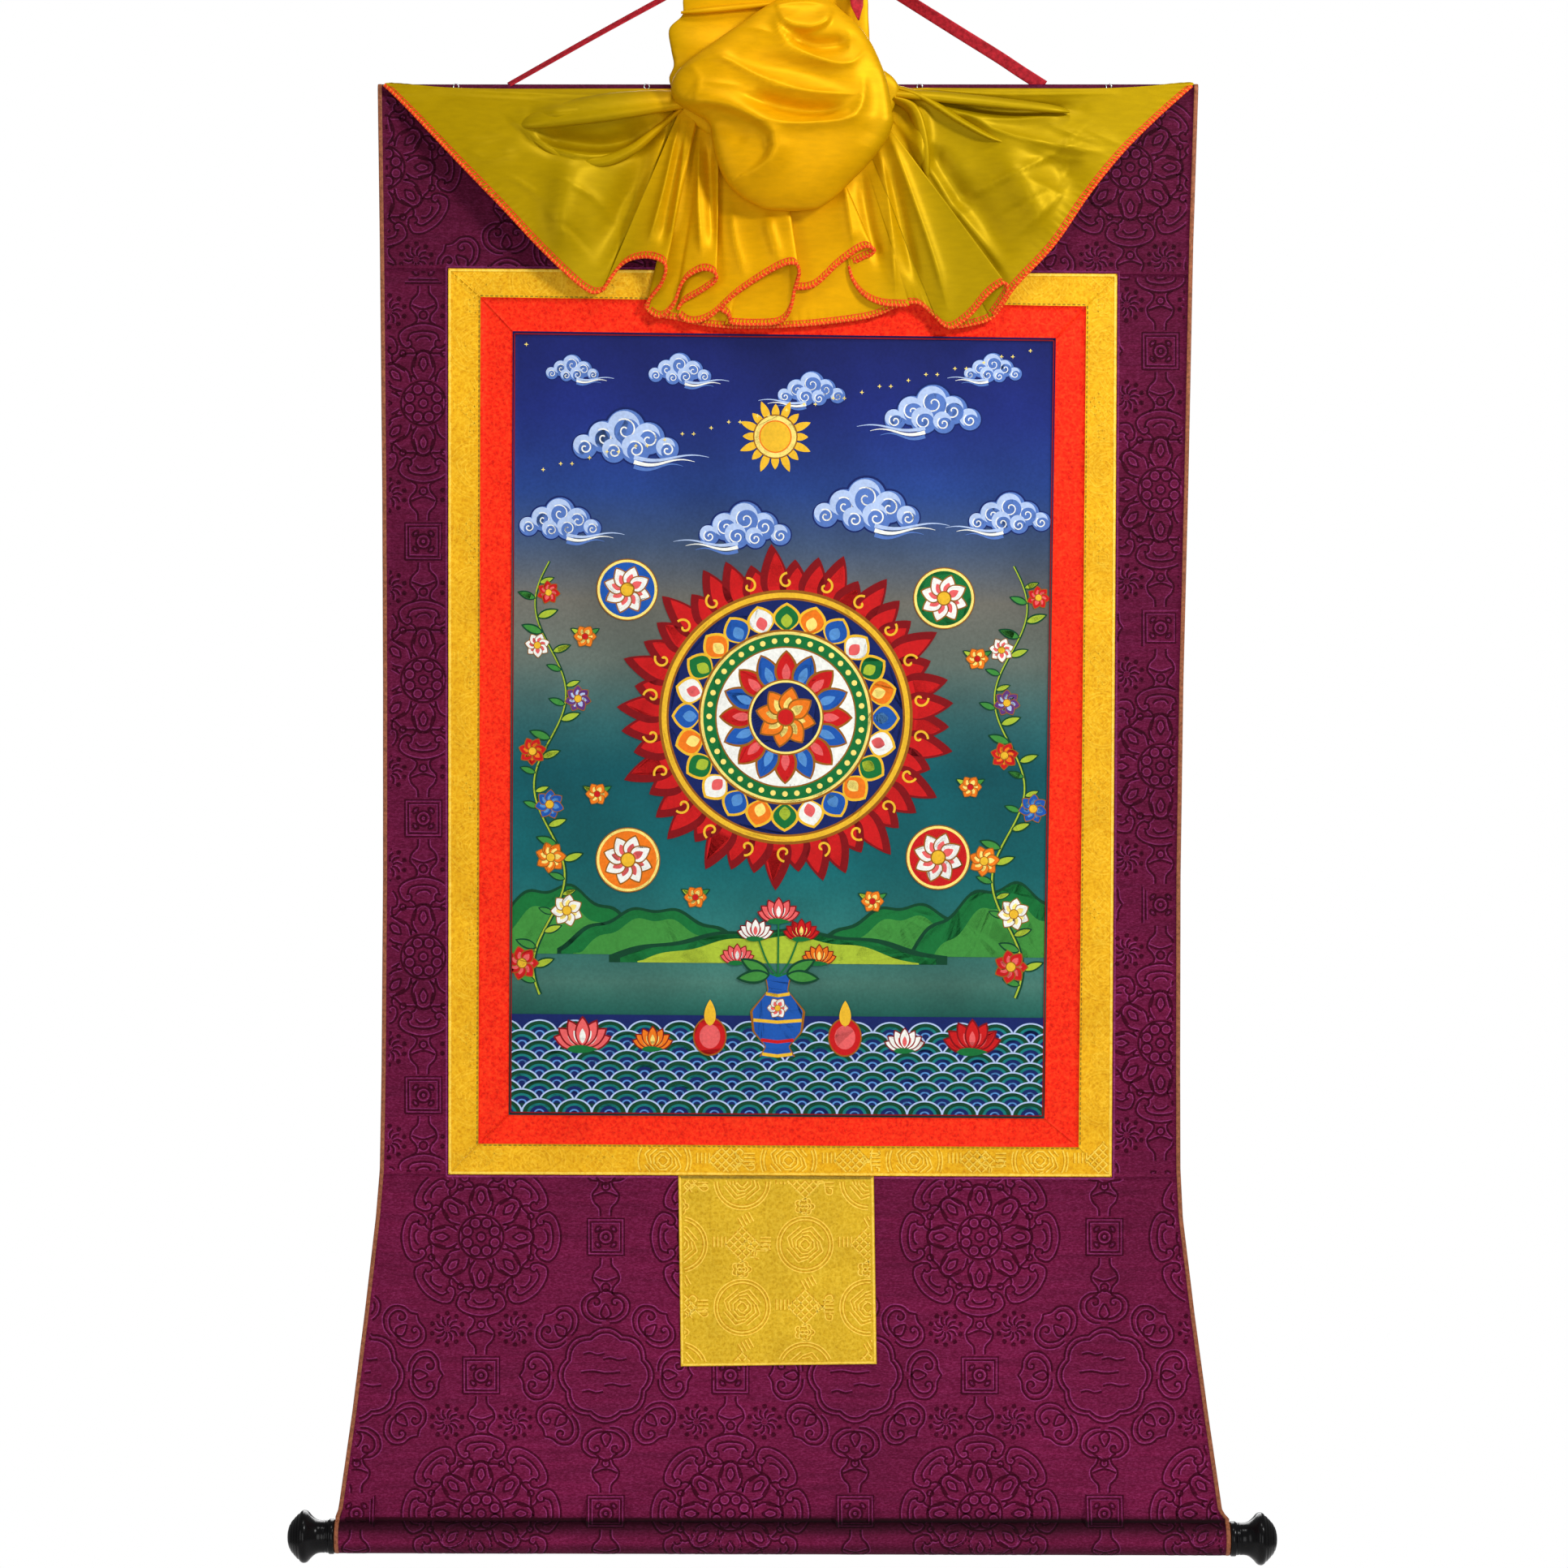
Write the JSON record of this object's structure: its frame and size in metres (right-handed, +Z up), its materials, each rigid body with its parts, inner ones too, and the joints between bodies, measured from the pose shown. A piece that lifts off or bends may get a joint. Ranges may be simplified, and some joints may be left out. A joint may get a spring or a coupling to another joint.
{
  "type": "thangka scroll painting with its batten, rod and hanging ribbon",
  "caption": "Hanging scroll: a picture in red and yellow strips on purple brocade, with a bunched yellow silk veil, hung from a ribbon.",
  "frame": {"origin": "the ribbon's highest point, where it goes over the nail or hook that holds it", "axes": "+Z up, the picture faces -Y, +X to the right as seen from the front"},
  "size_m": [0.7556, 0.0723, 1.2565],
  "materials": {
    "purple_brocade": "silk damask, dark purple, tone on tone",
    "yellow_brocade": "silk brocade, golden yellow, tone on tone",
    "red_silk": "matt red silk, softly mottled",
    "painted_cloth": "picture on primed cloth, matt",
    "copper_piping": "copper-brown braid",
    "veil_satin": "thin yellow satin, soft sheen, orange overlocked hem",
    "crimson_ribbon": "flat woven crimson ribbon",
    "black_lacquer": "black gloss lacquer",
    "plain_wood": "plain softwood",
    "ring_steel": "bright steel"
  },
  "bodies": {
    "root": {"brocade_top": "purple_brocade", "brocade_left": "purple_brocade", "brocade_right": "purple_brocade", "brocade_bottom": "purple_brocade", "yellow_strip_top": "yellow_brocade", "yellow_strip_right": "yellow_brocade", "yellow_strip_bottom": "yellow_brocade", "yellow_strip_left": "yellow_brocade", "door_patch": "yellow_brocade", "red_strip_top": "red_silk", "red_strip_right": "red_silk", "red_strip_bottom": "red_silk", "red_strip_left": "red_silk", "picture": "painted_cloth", "edge_binding_left": "copper_piping", "edge_binding_right": "copper_piping", "veil": "veil_satin", "hanging_ribbon": "crimson_ribbon", "hanging_ribbon_end": "crimson_ribbon", "ribbon_knot": "crimson_ribbon", "ribbon_tail": "crimson_ribbon", "knob_left": "black_lacquer", "knob_right": "black_lacquer", "batten": "plain_wood", "roller_rod": "plain_wood", "eyelet_1": "ring_steel", "eyelet_2": "ring_steel", "eyelet_3": "ring_steel", "eyelet_4": "ring_steel"}
  },
  "joints": []
}
